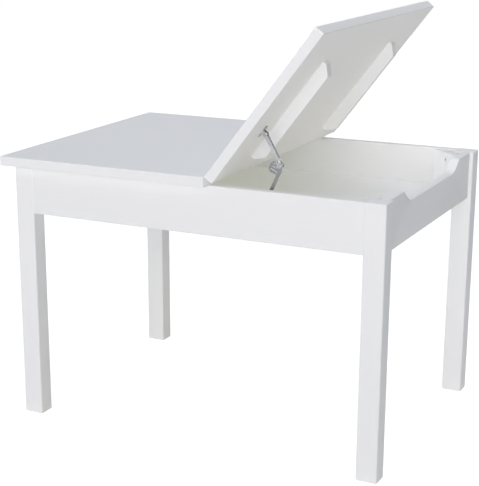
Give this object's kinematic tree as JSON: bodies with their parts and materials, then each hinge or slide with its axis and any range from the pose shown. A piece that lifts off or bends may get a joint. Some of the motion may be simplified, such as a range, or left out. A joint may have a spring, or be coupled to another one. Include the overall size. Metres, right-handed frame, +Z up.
{
  "type": "lift-top storage table",
  "caption": "Low rectangular children's table with square legs, a shallow tray under the top and a hinged lid held up by a folding stay.",
  "frame": {"origin": "on the floor, under the middle of the object's box with its lid open as pictured", "axes": "+Z up, +X from the fixed top towards the lid's free end, +Y from the front, where the stay is, to the back"},
  "size_m": [0.792, 0.59, 0.815],
  "materials": {
    "painted_wood": "white satin lacquer on solid wood",
    "painted_board": "white satin lacquer on board",
    "painted_panel": "white lacquer on thin panel",
    "beech_dowel": "bare beech, hidden",
    "zinc_steel": "dark zinc-plated steel",
    "bright_steel": "bright nickel-plated steel",
    "screw_steel": "zinc-plated steel",
    "friction_washer": "dark nylon"
  },
  "bodies": {
    "frame": {"leg_front_left": "painted_wood", "leg_front_right": "painted_wood", "leg_back_left": "painted_wood", "leg_back_right": "painted_wood", "apron_front": "painted_wood", "apron_back": "painted_wood", "apron_left": "painted_wood", "apron_right": "painted_wood", "brace_front_left": "painted_wood", "brace_front_right": "painted_wood", "brace_back_left": "painted_wood", "brace_back_right": "painted_wood", "brace_bolts": "bright_steel", "leg_inserts": "zinc_steel", "frame_dowels": "beech_dowel", "floor_panel": "painted_panel", "fixed_top": "painted_board", "top_dowels": "beech_dowel", "hinge_fixed_leaf": "bright_steel", "hinge_pin": "bright_steel", "hinge_fixed_screws": "screw_steel", "stay_apron_bracket": "zinc_steel", "stay_apron_screws": "screw_steel"},
    "lid": {"lid_panel": "painted_board", "batten_front": "painted_wood", "batten_back": "painted_wood", "batten_dowels": "beech_dowel", "hinge_lid_leaf": "bright_steel", "hinge_lid_screws": "screw_steel", "stay_lid_bracket": "bright_steel", "stay_lid_screws": "screw_steel", "stay_lid_rivet": "bright_steel"},
    "upper_arm": {"stay_upper_arm": "bright_steel", "stay_knee_bolt": "bright_steel", "stay_knee_washer": "friction_washer"},
    "lower_arm": {"stay_lower_arm": "zinc_steel", "stay_release_tab": "bright_steel", "stay_foot_rivet": "bright_steel"}
  },
  "joints": [
    {"name": "lid_hinge", "type": "hinge", "parent": "frame", "child": "lid", "pos_m": [0.0552, 0, 0.5393], "axis": [0, -1, 0], "range_deg": [-52.6, 0]},
    {"name": "stay_lid_pivot", "type": "hinge", "parent": "lid", "child": "upper_arm", "pos_m": [0.14689, -0.2282, 0.61395], "axis": [0, -1, 0], "range_deg": [0, 81.8]},
    {"name": "stay_knee", "type": "hinge", "parent": "upper_arm", "child": "lower_arm", "pos_m": [0.1782, -0.2316, 0.5598], "axis": [0, -1, 0], "range_deg": [-105.6, 0]}
  ],
  "couplings": [
    {"joint": "stay_lid_pivot", "follows": "lid_hinge", "ratio": -1.555},
    {"joint": "stay_knee", "follows": "lid_hinge", "ratio": 2.007}
  ]
}
